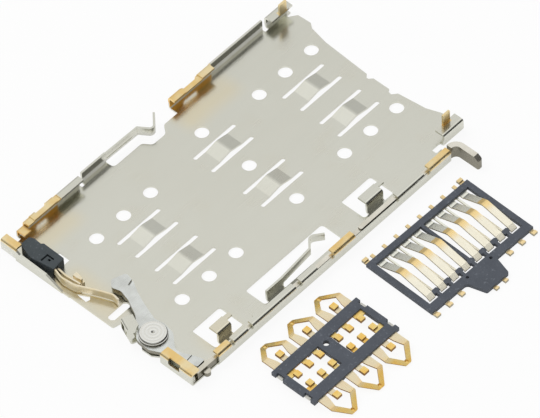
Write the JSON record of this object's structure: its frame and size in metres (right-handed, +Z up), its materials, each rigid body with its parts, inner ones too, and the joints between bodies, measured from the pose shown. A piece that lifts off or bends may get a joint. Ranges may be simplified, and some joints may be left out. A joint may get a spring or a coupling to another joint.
{
  "type": "card tray socket",
  "caption": "Board socket for a sliding card tray: folded sheet shell with ejector rod and lever, tray switch, and two loose contact blocks.",
  "frame": {"origin": "middle of the shell plate's underside, 8.5 mm along X and 4.5 mm against Y from its first contact hole", "axes": "+X along the socket towards the tray's entrance, +Y towards the back wall with the latch spring, +Z up from the plate into the open side of the shell"},
  "size_m": [0.0277, 0.0265, 0.002],
  "materials": {
    "shell_sheet": "satin nickel-plated sheet",
    "ejector_steel": "bright stamped steel",
    "dark_plastic": "moulded, matte",
    "tinned_metal": "tinned",
    "gold_plating": "gold-plated strip",
    "contact_metal": "plated strip, gold at the crest"
  },
  "bodies": {
    "root": {"lever_rivet": "ejector_steel", "sd_anchor_1": "contact_metal", "sd_anchor_10": "contact_metal", "sd_anchor_2": "contact_metal", "sd_anchor_3": "contact_metal", "sd_anchor_4": "contact_metal", "sd_anchor_5": "contact_metal", "sd_anchor_6": "contact_metal", "sd_anchor_7": "contact_metal", "sd_anchor_8": "contact_metal", "sd_anchor_9": "contact_metal", "sd_contact_1": "contact_metal", "sd_contact_2": "contact_metal", "sd_contact_3": "contact_metal", "sd_contact_4": "contact_metal", "sd_contact_5": "contact_metal", "sd_contact_6": "contact_metal", "sd_contact_7": "contact_metal", "sd_contact_8": "contact_metal", "sd_frame": "dark_plastic", "shell": "shell_sheet", "sim_anchor_1": "tinned_metal", "sim_anchor_2": "tinned_metal", "sim_anchor_3": "tinned_metal", "sim_anchor_4": "tinned_metal", "sim_contact_1": "gold_plating", "sim_contact_2": "gold_plating", "sim_contact_3": "gold_plating", "sim_contact_4": "gold_plating", "sim_contact_5": "gold_plating", "sim_contact_6": "gold_plating", "sim_frame": "dark_plastic", "switch_contact": "gold_plating", "switch_housing": "dark_plastic"},
    "push_rod": {"push_rod": "ejector_steel"},
    "ejector_lever": {"ejector_lever": "ejector_steel"},
    "switch_blade": {"switch_blade": "gold_plating"}
  },
  "joints": [
    {"name": "rod_slide", "type": "slide", "parent": "root", "child": "push_rod", "axis": [1, 0, 0], "range_m": [-0.0002, 0.0008]},
    {"name": "lever_pivot", "type": "hinge", "parent": "root", "child": "ejector_lever", "pos_m": [-0.01218, -0.0041, 0.00065], "axis": [0, 0, 1], "range_deg": [-3.1, 12.4]},
    {"name": "blade_flex", "type": "hinge", "parent": "root", "child": "switch_blade", "pos_m": [-0.0125, 0.0045, 0.00057], "axis": [0, 0, 1], "range_deg": [-8.8, 2.2]}
  ],
  "couplings": [
    {"joint": "lever_pivot", "follows": "rod_slide", "rad_per_m": 270},
    {"joint": "blade_flex", "follows": "rod_slide", "rad_per_m": -190}
  ]
}
